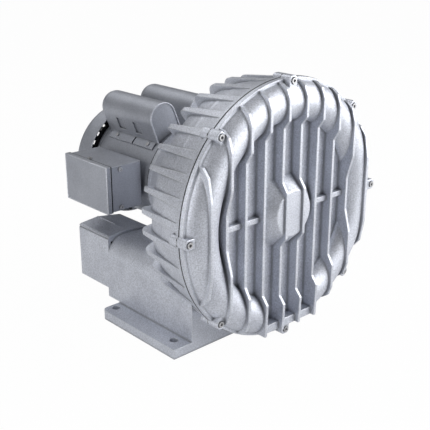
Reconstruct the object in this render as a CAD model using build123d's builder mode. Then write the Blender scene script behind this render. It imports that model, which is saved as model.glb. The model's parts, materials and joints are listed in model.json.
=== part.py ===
from build123d import *

import os
from math import degrees, sqrt

# Side channel blower: a finned cover and a ribbed casing around a bladed impeller, two silencer
# chambers in the pedestal, and a single-phase capacitor motor on the same shaft.
#
# Millimetres. The origin is the middle of the four foot holes, on the floor. The shaft lies along Y
# at SHAFT_HEIGHT, the cover faces -Y, the motor is at +Y, and +Z is up. "Front" is the cover's end.

# ---------------------------------------------------------------- driving dimensions

SHAFT_HEIGHT = 228.0            # shaft above the floor
SEAM_Y = -154.0                 # joint face of the casing
CHANNEL_RADIUS = 181.0          # middle of the side channel
CHANNEL_HALF_WIDTH = 22.0
FLANGE_RADIUS = CHANNEL_RADIUS + CHANNEL_HALF_WIDTH + 16     # of the cover and the casing
FLANGE_THICKNESS = 8.0
SCREW_CIRCLE = FLANGE_RADIUS - 4                             # cover screws
COVER_SCREWS = 8
LUG_WIDTH = 18.0
LUG_OUTER = FLANGE_RADIUS + 4.5
COVER_LUG = 20.0                # length of a lug ahead of the joint
CASING_LUG = 16.0
WALL = 6.0                      # general thickness of the castings
GASKET = 0.8
SEAT_GAP = 0.3                  # between faces of neighbours that would otherwise rub
FIT = 0.05                      # radial clearance of located, screwed and running fits
RUNNING_GAP = 0.8               # impeller to castings

STRIPPER_HALF_WIDTH = 61.0      # the channel is blocked below the shaft over this half width
IMPELLER_THICKNESS = 36.0
BLADES = 36
BLADE_THICKNESS = 3.0

FIN_PITCH = 40.6
FIN_THICKNESS = 5.0
FINS = 10
FLOOR = 5.0                     # heights on the cover, ahead of its joint face
BULGE_HEIGHT = 29.5
BULGE_OUTER = FLANGE_RADIUS - 6   # foot of the bulge over the side channel, outside and inside
BULGE_INNER = CHANNEL_RADIUS - 31
FIN_LOW = 23.0
FIN_HIGH = 34.0
HUB_HEIGHT = 30.0
HUB_FACE_RADIUS = 40.0
HUB_BASE_RADIUS = 62.0

RIB_STEP = 10                   # degrees between casing ribs
LAST_RIB = 135                  # degrees from the top, to both sides
RIB_REAR = -40.0
RIB_FRONT_RADIUS = FLANGE_RADIUS - 2
RIB_REAR_RADIUS = FLANGE_RADIUS - 14

FOOT_SPACING_X = 344.0
FOOT_SPACING_Y = 162.0
FOOT_HOLE_RADIUS = 7.25
FOOT_THICKNESS = 17.0
FOOT_HALF_WIDTH = 194.0
FOOT_REAR = 95.0
PEDESTAL_HALF_WIDTH = 155.0
PEDESTAL_FRONT = -108.0

CHAMBER_INNER_X = 61.0          # each silencer chamber runs from here out to the pedestal's side
CHAMBER_REAR = 214.0
CHAMBER_TOP = 137.0
CHAMBER_BOTTOM = 36.0
PORT_RADIUS = 28.5              # threaded port for two-inch pipe
PORT_LENGTH = 26.0
PORT_HEIGHT = 85.0

ADAPTOR_END = 81.0              # rear end of the casing's cone
ADAPTOR_END_RADIUS = 94.0
ADAPTOR_BORE = 70.0
ADAPTOR_RING = 15.0             # length of the ring that the motor bolts to

SHELL_RADIUS = 89.5
SHELL_WALL = 3.0
SHELL_FRONT = 85.0
SHELL_REAR = 243.0
CORE_FRONT = 112.0
CORE_REAR = 190.0
CORE_BORE = 46.0
AIR_GAP = 0.5
SLOTS = 24
THROUGH_BOLT_CIRCLE = 82.0
THROUGH_BOLT_RADIUS = 2.5

IMPELLER_SHAFT_RADIUS = 12.5
ROTOR_SHAFT_RADIUS = 15.0
REAR_SHAFT_RADIUS = 8.5
FRONT_BEARING_REAR = 3.0        # shaft shoulders that the bearings sit against
REAR_BEARING_FRONT = 229.0

FAN_RADIUS = 92.0
FAN_COVER_RADIUS = 107.5
FAN_COVER_REAR = 292.0
SHEET = 1.5

CAPACITOR_ANGLE = 21.2          # degrees each side of the top
CAPACITOR_COVER_RADIUS = 28.6
CAPACITOR_COVER_CENTRE = 124.4  # from the shaft
CAPACITOR_COVER_FRONT = 92.0
CAPACITOR_COVER_REAR = 227.5
CAPACITOR_RADIUS = 23.0
CAPACITOR_LENGTH = 110.0

BOX_OUTER_X = -172.0            # junction box
BOX_INNER_X = -99.0
BOX_FRONT = 91.0
BOX_REAR = 219.5
BOX_BOTTOM = 192.0
BOX_TOP = 278.0
LID_DEPTH = 8.0
CONDUIT_RADIUS = 11.1
LEAD_HOLE_RADIUS = 9.0

# ---------------------------------------------------------------- places that follow from them

COVER_Y = SEAM_Y - GASKET
COVER_INNER_Y = COVER_Y + 3.8
IMPELLER_FRONT = COVER_INNER_Y + RUNNING_GAP
IMPELLER_REAR = IMPELLER_FRONT + IMPELLER_THICKNESS
CASING_FACE_Y = IMPELLER_REAR + RUNNING_GAP
BORE_RADIUS = CHANNEL_RADIUS + CHANNEL_HALF_WIDTH
IMPELLER_RADIUS = BORE_RADIUS - RUNNING_GAP
COVER_CHANNEL_Y = COVER_Y - 1.0
CASING_CHANNEL_Y = CASING_FACE_Y + 3.0
BARREL_RADIUS = BORE_RADIUS + WALL
BARREL_FRONT_RADIUS = FLANGE_RADIUS - 3.5
BACK_WALL_REAR = CASING_FACE_Y + 8.0
SHELL_INNER = SHELL_RADIUS - SHELL_WALL

SHAFT = Axis((0, 0, SHAFT_HEIGHT), (0, -1, 0))
ALONG = Plane(origin=(0, 0, SHAFT_HEIGHT), x_dir=(0, 1, 0), z_dir=(1, 0, 0))
FACING_BOX = Plane(origin=(0, 0, SHAFT_HEIGHT), x_dir=(0, 1, 0), z_dir=(-1, 0, 0))

BOX_MIDDLE_Y = (BOX_FRONT + BOX_REAR) / 2
BOX_SCREWS = ((BOX_MIDDLE_Y - 26, 0), (BOX_MIDDLE_Y + 20, 0))     # as (y, depth below the shaft)
LEAD_HOLE_Y = CORE_REAR + 13
TAB_SCREWS_Y = (CAPACITOR_COVER_FRONT + 22, CAPACITOR_COVER_REAR - 22)
TAB_ANGLE = CAPACITOR_ANGLE + 22.5

os.makedirs("parts", exist_ok=True)


# ---------------------------------------------------------------- helpers

def across(y):
    """Plane across the shaft at y, seen from the cover: local x to the right, local y up."""
    return Plane(origin=(0, y, SHAFT_HEIGHT), x_dir=(1, 0, 0), z_dir=(0, -1, 0))


def standing(y):
    """Plane across the object at y with its origin on the floor."""
    return Plane(origin=(0, y, 0), x_dir=(1, 0, 0), z_dir=(0, -1, 0))


def ahead(height):
    """The y of a place at this height ahead of the cover's joint face."""
    return COVER_Y - height


def ring(front, rear, outer, inner=0.0, mode=Mode.ADD):
    """Put a disc or ring about the shaft, between two y places, into the part being built."""
    with BuildSketch(across(rear)) as section:
        Circle(outer)
        if inner:
            Circle(inner, mode=Mode.SUBTRACT)
    extrude(section.sketch, amount=rear - front, mode=mode)


def spin(points, mode=Mode.ADD):
    """Put a solid of revolution, from (y, radius) points, into the part being built."""
    with BuildSketch(ALONG) as section:
        with BuildLine():
            Polyline(*points, close=True)
        make_face()
    revolve(section.sketch, axis=SHAFT, mode=mode)


def block(x, y, z, mode=Mode.ADD):
    """Put a box, given as (low, high) along each axis, into the part being built."""
    with Locations(((x[0] + x[1]) / 2, (y[0] + y[1]) / 2, (z[0] + z[1]) / 2)):
        Box(x[1] - x[0], y[1] - y[0], z[1] - z[0], mode=mode)


def around(shape, angles):
    """Copies of a shape turned about the shaft, anticlockwise seen from the cover."""
    return [shape.rotate(SHAFT, angle) for angle in angles]


def even(count, first=0.0):
    """Evenly spaced angles round a full turn."""
    return [first + 360 * n / count for n in range(count)]


def cap_screw(thread, length, head, head_height):
    """Socket head screw, its head's underside at the origin and its thread along +Y."""
    with BuildPart() as screw:
        with BuildSketch(Plane.XZ) as top:
            Circle(head)
        extrude(top.sketch, amount=head_height)
        with BuildSketch(Plane.XZ.offset(head_height)) as socket:
            RegularPolygon(head * 0.55, 6)
        extrude(socket.sketch, amount=-head_height * 0.6, mode=Mode.SUBTRACT)
        with BuildSketch(Plane.XZ) as shank:
            Circle(thread)
        extrude(shank.sketch, amount=-length)
    return screw.part


def hex_screw(thread, length, head, head_height):
    """Hexagon head screw, its head's underside at the origin and its thread along +Y."""
    with BuildPart() as screw:
        with BuildSketch(Plane.XZ) as top:
            RegularPolygon(head, 6)
        extrude(top.sketch, amount=head_height)
        with BuildSketch(Plane.XZ) as shank:
            Circle(thread)
        extrude(shank.sketch, amount=-length)
    return screw.part


def write(piece, name):
    """Label a finished piece and write it to its own file."""
    piece.part.label = name
    export_step(piece.part, f"parts/{name}.step")


# ---------------------------------------------------------------- side channel

def arched_ring(mouth_y, spring_y, crown_y, inner, outer, stripper):
    """Arched ring about the shaft, left out below the shaft within the stripper's half width."""
    with BuildPart() as body:
        with BuildSketch(ALONG):
            with BuildLine():
                Polyline((spring_y, inner), (mouth_y, inner), (mouth_y, outer), (spring_y, outer))
                ThreePointArc((spring_y, outer), (crown_y, (inner + outer) / 2), (spring_y, inner))
            make_face()
        revolve(axis=SHAFT)
        block((-stripper, stripper), (min(crown_y, mouth_y) - 1, max(crown_y, mouth_y) + 1),
              (SHAFT_HEIGHT - FLANGE_RADIUS, SHAFT_HEIGHT), mode=Mode.SUBTRACT)
    return body.part


def channel(centre_y, mouth_y, crown_y):
    """The hollow of one side of the side channel."""
    return arched_ring(mouth_y, centre_y, crown_y, CHANNEL_RADIUS - CHANNEL_HALF_WIDTH,
                       CHANNEL_RADIUS + CHANNEL_HALF_WIDTH, STRIPPER_HALF_WIDTH + WALL)


# ---------------------------------------------------------------- cover

RIM_STEP_INNER = CHANNEL_RADIUS - 36   # a fin steps up between these two radii
RIM_STEP_OUTER = CHANNEL_RADIUS - 23
HUB_STEP_INNER = 44.0
HUB_STEP_OUTER = 58.0
FIN_END = ((FLANGE_RADIUS - 27, FIN_HIGH), (FLANGE_RADIUS - 12, FIN_HIGH - 7),
           (FLANGE_RADIUS - 5, FIN_HIGH - 19), (FLANGE_RADIUS - 2.5, 0.0))   # as (radius, height)
LEDGE_INNER = FLANGE_RADIUS - 29       # sill below the stripper, as depths below the shaft
LEDGE_OUTER = FLANGE_RADIUS - 15


def fin_profile(x):
    """Half outline of a fin at x, as (depth from the shaft's level, height) points, from the middle."""
    def level(radius):
        return sqrt(max(radius ** 2 - x ** 2, 0.0))

    points = []
    if abs(x) < HUB_STEP_INNER:
        points += [(0, FIN_HIGH), (level(HUB_STEP_INNER), FIN_HIGH), (level(HUB_STEP_OUTER), FIN_LOW)]
    elif abs(x) < RIM_STEP_INNER:
        points += [(0, FIN_LOW)]
    if abs(x) < RIM_STEP_INNER:
        points += [(level(RIM_STEP_INNER), FIN_LOW), (level(RIM_STEP_OUTER), FIN_HIGH)]
    else:
        points += [(0, FIN_HIGH)]
    return points


def fin(x):
    """Upright fin from the cover's plate, highest at the rim and over the hub."""
    rounded = [(sqrt(radius ** 2 - x ** 2), height) for radius, height in FIN_END]
    square = [(LEDGE_OUTER, FIN_HIGH - 2), (LEDGE_OUTER, 0)]
    half = fin_profile(x)
    upper = half + rounded
    lower = [(-depth, height) for depth, height
             in half[1:] + (square if abs(x) <= STRIPPER_HALF_WIDTH else rounded)]
    outline = [(ahead(height), depth) for depth, height in lower[::-1] + upper]
    with BuildPart() as plate:
        with BuildSketch(ALONG.offset(x)):
            with BuildLine():
                Polyline(*outline, close=True)
            make_face()
        extrude(amount=FIN_THICKNESS / 2, both=True)
    return plate.part


def lug(length, face_y):
    """Ear for a cover screw at the top of the flange, reaching ahead of face_y."""
    with BuildPart() as ear:
        with BuildSketch(across(face_y)):
            with Locations((0, (LUG_OUTER + BORE_RADIUS) / 2 + 1)):
                Rectangle(LUG_WIDTH, LUG_OUTER - BORE_RADIUS - 2)
        extrude(amount=length)
        fillet(ear.edges().filter_by(Axis.Y).group_by(Axis.Z)[-1], 6)
    return ear.part


with BuildPart() as cover_lug:
    add(lug(COVER_LUG, COVER_Y))
    fillet(cover_lug.faces().sort_by(Axis.Y)[0].edges().group_by(Axis.Z)[-1], 2)

with BuildPart() as front_cover:
    spin([(COVER_INNER_Y, 0), (COVER_INNER_Y, CHANNEL_RADIUS - CHANNEL_HALF_WIDTH - FIT),
          (COVER_Y, CHANNEL_RADIUS - CHANNEL_HALF_WIDTH - FIT), (COVER_Y, FLANGE_RADIUS),
          (ahead(FLANGE_THICKNESS), FLANGE_RADIUS - 1), (ahead(FLANGE_THICKNESS), BULGE_OUTER - 8),
          (ahead(FLOOR), BULGE_OUTER - 10), (ahead(FLOOR), 0)])
    add(arched_ring(COVER_Y, ahead(FLANGE_THICKNESS), ahead(BULGE_HEIGHT), BULGE_INNER, BULGE_OUTER,
                    STRIPPER_HALF_WIDTH))
    spin([(ahead(0), 0), (ahead(0), HUB_BASE_RADIUS), (ahead(FLOOR), HUB_BASE_RADIUS),
          (ahead(HUB_HEIGHT - 1), HUB_FACE_RADIUS), (ahead(HUB_HEIGHT), HUB_FACE_RADIUS - 2),
          (ahead(HUB_HEIGHT), 0)])
    add([fin((n - (FINS - 1) / 2) * FIN_PITCH) for n in range(FINS)])
    add(around(cover_lug.part, even(COVER_SCREWS)))
    for bay in (-3, -2, 1, 2, 3):
        middle = bay * FIN_PITCH
        block((middle - FIN_PITCH / 2, middle + FIN_PITCH / 2), (ahead(FLOOR + 9), ahead(FLOOR - 1)),
              (SHAFT_HEIGHT - 4.5, SHAFT_HEIGHT + 4.5))
    block((-STRIPPER_HALF_WIDTH, STRIPPER_HALF_WIDTH), (ahead(24), ahead(0)),
          (SHAFT_HEIGHT - LEDGE_OUTER, SHAFT_HEIGHT - LEDGE_INNER))
    # inside: the channel, and the pocket over the end of the shaft
    add(channel(COVER_CHANNEL_Y, COVER_INNER_Y + 1, COVER_CHANNEL_Y - CHANNEL_HALF_WIDTH),
        mode=Mode.SUBTRACT)
    spin([(COVER_INNER_Y, 0), (COVER_INNER_Y, 42), (ahead(HUB_HEIGHT - WALL), 30),
          (ahead(HUB_HEIGHT - WALL), 0)], mode=Mode.SUBTRACT)
    with BuildSketch(across(ahead(COVER_LUG))) as seats:
        with PolarLocations(SCREW_CIRCLE, COVER_SCREWS, start_angle=90):
            Circle(5.8)
    extrude(seats.sketch, amount=-4, mode=Mode.SUBTRACT)
    with BuildSketch(across(ahead(COVER_LUG))) as holes:
        with PolarLocations(SCREW_CIRCLE, COVER_SCREWS, start_angle=90):
            Circle(3.3)
    extrude(holes.sketch, amount=-COVER_LUG, mode=Mode.SUBTRACT)
write(front_cover, "front_cover")

with BuildPart() as cover_gasket:
    ring(COVER_Y, SEAM_Y, FLANGE_RADIUS - 1, BORE_RADIUS)
    with BuildSketch(across(SEAM_Y)) as holes:
        with PolarLocations(SCREW_CIRCLE, COVER_SCREWS, start_angle=90):
            Circle(3.3)
    extrude(holes.sketch, amount=GASKET, mode=Mode.SUBTRACT)
write(cover_gasket, "cover_gasket")

COVER_SCREW_LENGTH = 30.0
with BuildPart() as cover_screws:
    one = cap_screw(3.0, COVER_SCREW_LENGTH, 5.0, 6.0)
    placed = Pos(0, ahead(COVER_LUG - 4), SHAFT_HEIGHT + SCREW_CIRCLE) * one
    add(around(placed, even(COVER_SCREWS)))
write(cover_screws, "cover_screws")


# ---------------------------------------------------------------- casing

SHOULDER_RADIUS = 30.0          # rounding from the barrel to the cone
SHOULDER_Y = CASING_CHANNEL_Y + 2
CONE_FRONT_Y = SHOULDER_Y + SHOULDER_RADIUS
CONE_FRONT_RADIUS = BARREL_RADIUS - SHOULDER_RADIUS
CONE_REAR_Y = ADAPTOR_END - 12.0
DRY_SPACE_RADIUS = CHANNEL_RADIUS - 31     # inside of the cone at its front end
SEAL_BOSS_REAR = -85.0
SEAL_WIDTH = 8.0
SEAL_RADIUS = 24.0
SPACER_RADIUS = 17.0
CHAMBER_MIDDLE = (CHAMBER_INNER_X + PEDESTAL_HALF_WIDTH) / 2
PLATE_POCKET = 14.0
PLATE_SCREW_DX = 36.0
PLATE_SCREW_DZ = 37.0
BLOCK_FRONT = 122.0             # the chamber's squared rear end starts here
HOLLOW_HALF_X = 41.0
HOLLOW_HALF_Z = 42.0


def cone_radius(y):
    """Outside of the casing's cone at y."""
    slope = (CONE_FRONT_RADIUS - ADAPTOR_END_RADIUS - 1) / (CONE_REAR_Y - CONE_FRONT_Y)
    return CONE_FRONT_RADIUS - slope * (y - CONE_FRONT_Y)


with BuildPart() as rib:
    # side view of the upper rib: nearly level on top, with a rounded rear corner
    with BuildSketch(ALONG) as side_view:
        with BuildLine():
            Polyline((SEAM_Y + 4, DRY_SPACE_RADIUS), (SEAM_Y + 4, RIB_FRONT_RADIUS),
                     (RIB_REAR, RIB_REAR_RADIUS), (RIB_REAR, CONE_FRONT_RADIUS - 1),
                     (RIB_REAR + 4, cone_radius(RIB_REAR + 4) - 3), close=True)
        make_face()
        fillet(side_view.vertices().filter_by_position(Axis.X, RIB_REAR - 1, RIB_REAR + 1)
               .sort_by(Axis.Y)[-1], 14)
    extrude(side_view.sketch, amount=8, both=True)
    # plan view: broad at the flange and narrowing to the rear
    with BuildSketch(Plane.XY.offset(SHAFT_HEIGHT + 100)) as plan:
        with BuildLine():
            Polyline((-7.5, SEAM_Y), (7.5, SEAM_Y), (3, RIB_REAR + 10), (-3, RIB_REAR + 10), close=True)
        make_face()
    extrude(plan.sketch, amount=150, mode=Mode.INTERSECT)

with BuildPart() as chamber:
    # outer shape of the left silencer chamber: rounded shoulder in front, squared block at the rear
    with BuildSketch(standing(BLOCK_FRONT)) as front_section:
        with BuildLine():
            Polyline((-PEDESTAL_HALF_WIDTH, 19), (-PEDESTAL_HALF_WIDTH, CHAMBER_TOP),
                     (-CHAMBER_INNER_X, CHAMBER_TOP - 3), (-CHAMBER_INNER_X, 19), close=True)
        make_face()
        fillet(front_section.vertices().group_by(Axis.X)[0].sort_by(Axis.Y)[-1], 34)
    extrude(front_section.sketch, amount=BLOCK_FRONT - PEDESTAL_FRONT)
    with BuildSketch(standing(CHAMBER_REAR)) as rear_section:
        with BuildLine():
            Polyline((-PEDESTAL_HALF_WIDTH, CHAMBER_BOTTOM), (-PEDESTAL_HALF_WIDTH, CHAMBER_TOP - 5.5),
                     (-PEDESTAL_HALF_WIDTH + 2, CHAMBER_TOP - 4), (-PEDESTAL_HALF_WIDTH + 2, CHAMBER_TOP - 3),
                     (-PEDESTAL_HALF_WIDTH, CHAMBER_TOP - 2), (-PEDESTAL_HALF_WIDTH + 4, CHAMBER_TOP + 1),
                     (-CHAMBER_MIDDLE - 5, CHAMBER_TOP + 5), (-CHAMBER_INNER_X, CHAMBER_TOP - 3),
                     (-CHAMBER_INNER_X, CHAMBER_BOTTOM), close=True)
        make_face()
    extrude(rear_section.sketch, amount=CHAMBER_REAR - BLOCK_FRONT)
    block((-PEDESTAL_HALF_WIDTH, -CHAMBER_INNER_X), (PEDESTAL_FRONT, 127), (19, 60))

with BuildPart() as chamber_hollow:
    # inside of the left chamber, with a shoulder for the port plate and lugs for its screws
    with BuildSketch(standing(BLOCK_FRONT)) as front_section:
        with Locations((-CHAMBER_MIDDLE, PORT_HEIGHT)):
            Rectangle(2 * HOLLOW_HALF_X, 2 * HOLLOW_HALF_Z)
        fillet(front_section.vertices().group_by(Axis.X)[0].sort_by(Axis.Y)[-1], 28)
    extrude(front_section.sketch, amount=BLOCK_FRONT + 72)
    with BuildSketch(standing(CHAMBER_REAR)) as rear_section:
        with Locations((-CHAMBER_MIDDLE, PORT_HEIGHT)):
            Rectangle(2 * HOLLOW_HALF_X, 2 * HOLLOW_HALF_Z)
    extrude(rear_section.sketch, amount=CHAMBER_REAR - BLOCK_FRONT)
    with BuildSketch(standing(CHAMBER_REAR)) as screw_lugs:
        with Locations((-CHAMBER_MIDDLE, PORT_HEIGHT)):
            with GridLocations(2 * PLATE_SCREW_DX, 2 * PLATE_SCREW_DZ, 2, 2):
                Circle(8)
    extrude(screw_lugs.sketch, amount=32, mode=Mode.SUBTRACT)
    with BuildSketch(standing(CHAMBER_REAR)) as pocket:
        with Locations((-CHAMBER_MIDDLE, PORT_HEIGHT)):
            Rectangle(2 * HOLLOW_HALF_X + 6, 2 * HOLLOW_HALF_Z + 6)
    extrude(pocket.sketch, amount=PLATE_POCKET)

with BuildPart() as passage:
    # way from the side channel into the left chamber
    ring(CASING_CHANNEL_Y + 6, -70, BORE_RADIUS - 3, CHANNEL_RADIUS - CHANNEL_HALF_WIDTH + 3)
    block((-CHAMBER_MIDDLE - HOLLOW_HALF_X + 2, -STRIPPER_HALF_WIDTH - 2 * WALL), (-160, 0),
          (PORT_HEIGHT - HOLLOW_HALF_Z + 2, PORT_HEIGHT + HOLLOW_HALF_Z - 2), mode=Mode.INTERSECT)

with BuildPart() as casing:
    # foot plate and pedestal
    block((-FOOT_HALF_WIDTH, FOOT_HALF_WIDTH), (PEDESTAL_FRONT, FOOT_REAR), (0, FOOT_THICKNESS))
    fillet(casing.edges().filter_by(Axis.Z).group_by(Axis.Y)[-1], 12)
    block((-PEDESTAL_HALF_WIDTH, PEDESTAL_HALF_WIDTH), (PEDESTAL_FRONT, PEDESTAL_FRONT + 12), (0, 100))
    block((-PEDESTAL_HALF_WIDTH, -CHAMBER_INNER_X), (PEDESTAL_FRONT, FOOT_REAR), (0, 40))
    block((CHAMBER_INNER_X, PEDESTAL_HALF_WIDTH), (PEDESTAL_FRONT, FOOT_REAR), (0, 40))
    add([chamber.part, chamber.part.mirror(Plane.YZ)])
    add([chamber_hollow.part, chamber_hollow.part.mirror(Plane.YZ)], mode=Mode.SUBTRACT)
    # flange, barrel round the impeller, rounded shoulder and cone
    with BuildSketch(ALONG) as outline:
        with BuildLine():
            Polyline((CONE_FRONT_Y, CONE_FRONT_RADIUS), (CONE_REAR_Y, ADAPTOR_END_RADIUS + 1),
                     (ADAPTOR_END - 1, ADAPTOR_END_RADIUS), (ADAPTOR_END, ADAPTOR_END_RADIUS - 1),
                     (ADAPTOR_END, 0), (SEAM_Y, 0), (SEAM_Y, FLANGE_RADIUS),
                     (SEAM_Y + FLANGE_THICKNESS, FLANGE_RADIUS - 1),
                     (SEAM_Y + FLANGE_THICKNESS + 2, BARREL_FRONT_RADIUS), (SHOULDER_Y, BARREL_RADIUS))
            CenterArc((SHOULDER_Y, CONE_FRONT_RADIUS), SHOULDER_RADIUS, 0, 90)
        make_face()
    revolve(outline.sketch, axis=SHAFT)
    add(around(lug(CASING_LUG, SEAM_Y + CASING_LUG), even(COVER_SCREWS)))
    add(around(rib.part, range(-LAST_RIB, LAST_RIB + 1, RIB_STEP)))
    # inside: impeller chamber, side channel, the dry space in the cone, seal and motor seats
    ring(SEAM_Y, CASING_FACE_Y, BORE_RADIUS, mode=Mode.SUBTRACT)
    add(channel(CASING_CHANNEL_Y, CASING_FACE_Y - 1, CASING_CHANNEL_Y + CHANNEL_HALF_WIDTH),
        mode=Mode.SUBTRACT)
    add([passage.part, passage.part.mirror(Plane.YZ)], mode=Mode.SUBTRACT)
    spin([(SEAL_BOSS_REAR, 0), (SEAL_BOSS_REAR, 34), (BACK_WALL_REAR, 34),
          (BACK_WALL_REAR, DRY_SPACE_RADIUS), (-40, DRY_SPACE_RADIUS), (ADAPTOR_END - ADAPTOR_RING, 88), (ADAPTOR_END - ADAPTOR_RING, 0)],
         mode=Mode.SUBTRACT)
    ring(CASING_FACE_Y, SEAL_BOSS_REAR, SPACER_RADIUS + 1.5, mode=Mode.SUBTRACT)
    ring(SEAL_BOSS_REAR - SEAL_WIDTH, SEAL_BOSS_REAR, SEAL_RADIUS, mode=Mode.SUBTRACT)
    ring(ADAPTOR_END - ADAPTOR_RING, ADAPTOR_END, ADAPTOR_BORE, mode=Mode.SUBTRACT)
    # screw holes, foot holes and the lightening pockets under the foot
    with BuildSketch(across(SEAM_Y)) as cover_holes:
        with PolarLocations(SCREW_CIRCLE, COVER_SCREWS, start_angle=90):
            Circle(3.0 + FIT)
    extrude(cover_holes.sketch, amount=-CASING_LUG, mode=Mode.SUBTRACT)
    with BuildSketch(across(ADAPTOR_END)) as bolt_holes:
        with PolarLocations(THROUGH_BOLT_CIRCLE, 4, start_angle=45):
            Circle(THROUGH_BOLT_RADIUS + FIT)
    extrude(bolt_holes.sketch, amount=ADAPTOR_RING, mode=Mode.SUBTRACT)
    with BuildSketch(standing(CHAMBER_REAR - PLATE_POCKET)) as plate_holes:
        for side in (-1, 1):
            with Locations((side * CHAMBER_MIDDLE, PORT_HEIGHT)):
                with GridLocations(2 * PLATE_SCREW_DX, 2 * PLATE_SCREW_DZ, 2, 2):
                    Circle(3.0 + FIT)
    extrude(plate_holes.sketch, amount=16, mode=Mode.SUBTRACT)
    with BuildSketch() as foot_holes:
        with GridLocations(FOOT_SPACING_X, FOOT_SPACING_Y, 2, 2):
            Circle(FOOT_HOLE_RADIUS)
    extrude(foot_holes.sketch, amount=FOOT_THICKNESS, mode=Mode.SUBTRACT)
    block((-50, 50), (PEDESTAL_FRONT + 24, FOOT_REAR - 12), (0, 9), mode=Mode.SUBTRACT)
    for side in (-1, 1):
        near, far = sorted((side * 71, side * 145))
        block((near, far), (PEDESTAL_FRONT + 12, FOOT_REAR - 12), (0, 30), mode=Mode.SUBTRACT)
write(casing, "casing")

with BuildPart() as shaft_seal:
    ring(SEAL_BOSS_REAR - SEAL_WIDTH, SEAL_BOSS_REAR, SEAL_RADIUS - FIT, SPACER_RADIUS + FIT)
    ring(SEAL_BOSS_REAR - SEAL_WIDTH + 2, SEAL_BOSS_REAR, SEAL_RADIUS - 3, SPACER_RADIUS + 2,
         mode=Mode.SUBTRACT)
write(shaft_seal, "shaft_seal")


# ---------------------------------------------------------------- silencer chambers' contents

FOAM_FRONT = 62.0
FOAM_REAR = 181.0
FOAM_BORE = 29.5
PLATE_GASKET = 1.5
PLATE_BOSS_RADIUS = 36.0


def for_each_side(left_part, name):
    """Write a piece of the left chamber and its mirror image in the right chamber."""
    for side, part in (("outlet", left_part), ("inlet", left_part.mirror(Plane.YZ))):
        with BuildPart() as piece:
            add(part)
        write(piece, f"{side}_{name}")


with BuildPart() as foam:
    with BuildSketch(standing(FOAM_REAR)) as section:
        with Locations((-CHAMBER_MIDDLE, PORT_HEIGHT)):
            Rectangle(2 * (HOLLOW_HALF_X - SEAT_GAP), 2 * (HOLLOW_HALF_Z - SEAT_GAP))
        fillet(section.vertices().group_by(Axis.X)[0].sort_by(Axis.Y)[-1], 28)
        with Locations((-CHAMBER_MIDDLE, PORT_HEIGHT)):
            Circle(FOAM_BORE, mode=Mode.SUBTRACT)
    extrude(section.sketch, amount=FOAM_REAR - FOAM_FRONT)
for_each_side(foam.part, "silencer_foam")

with BuildPart() as screen:
    with BuildSketch(standing(FOAM_REAR)) as section:
        with Locations((-CHAMBER_MIDDLE, PORT_HEIGHT)):
            Circle(FOAM_BORE - SEAT_GAP)
            Circle(FOAM_BORE - SEAT_GAP - 1, mode=Mode.SUBTRACT)
    extrude(section.sketch, amount=FOAM_REAR - FOAM_FRONT)
for_each_side(screen.part, "silencer_screen")

with BuildPart() as plate_gasket:
    with BuildSketch(standing(CHAMBER_REAR - PLATE_POCKET + PLATE_GASKET)) as section:
        with Locations((-CHAMBER_MIDDLE, PORT_HEIGHT)):
            Rectangle(2 * HOLLOW_HALF_X + 6 - 2 * SEAT_GAP, 2 * HOLLOW_HALF_Z + 6 - 2 * SEAT_GAP)
            Circle(PLATE_BOSS_RADIUS + 1, mode=Mode.SUBTRACT)
            with GridLocations(2 * PLATE_SCREW_DX, 2 * PLATE_SCREW_DZ, 2, 2):
                Circle(3.3, mode=Mode.SUBTRACT)
    extrude(section.sketch, amount=PLATE_GASKET)
for_each_side(plate_gasket.part, "port_gasket")

with BuildPart() as port_plate:
    with BuildSketch(standing(CHAMBER_REAR)) as section:
        with Locations((-CHAMBER_MIDDLE, PORT_HEIGHT)):
            Rectangle(2 * HOLLOW_HALF_X + 6 - 2 * SEAT_GAP, 2 * HOLLOW_HALF_Z + 6 - 2 * SEAT_GAP)
    extrude(section.sketch, amount=PLATE_POCKET - PLATE_GASKET)
    with BuildSketch(standing(CHAMBER_REAR)) as boss:
        with Locations((-CHAMBER_MIDDLE, PORT_HEIGHT)):
            Circle(PLATE_BOSS_RADIUS)
    extrude(boss.sketch, amount=PORT_LENGTH)
    with BuildSketch(standing(CHAMBER_REAR)) as bore:
        with Locations((-CHAMBER_MIDDLE, PORT_HEIGHT)):
            Circle(PORT_RADIUS)
            with GridLocations(2 * PLATE_SCREW_DX, 2 * PLATE_SCREW_DZ, 2, 2):
                Circle(3.3)
    extrude(bore.sketch, amount=PORT_LENGTH, mode=Mode.SUBTRACT)
    with BuildSketch(standing(CHAMBER_REAR)) as seats:
        with Locations((-CHAMBER_MIDDLE, PORT_HEIGHT)):
            with GridLocations(2 * PLATE_SCREW_DX, 2 * PLATE_SCREW_DZ, 2, 2):
                Circle(5.8)
    extrude(seats.sketch, amount=6.5, mode=Mode.SUBTRACT)
for_each_side(port_plate.part, "port_plate")

with BuildPart() as port_plate_screws:
    one = cap_screw(3.0, 20, 5.0, 6.0)
    for side in (-1, 1):
        for dx in (-PLATE_SCREW_DX, PLATE_SCREW_DX):
            for dz in (-PLATE_SCREW_DZ, PLATE_SCREW_DZ):
                place = Pos(side * CHAMBER_MIDDLE + dx, CHAMBER_REAR - 6.5, PORT_HEIGHT + dz)
                add(place * Rot(Z=180) * one)
write(port_plate_screws, "port_plate_screws")


# ---------------------------------------------------------------- impeller and shaft

HUB_RADIUS = 28.0
HUB_FRONT = -147.0
HUB_REAR = IMPELLER_REAR
DISC_FRONT = -137.0
DISC_REAR = -128.0
RIM_INNER = 148.0
POCKET_HALF_WIDTH = 20.0
POCKET_DEPTH = 15.5
KEY_WIDTH = 6.0
KEY_DEPTH = 3.0
WASHER_THICKNESS = 3.0


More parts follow.
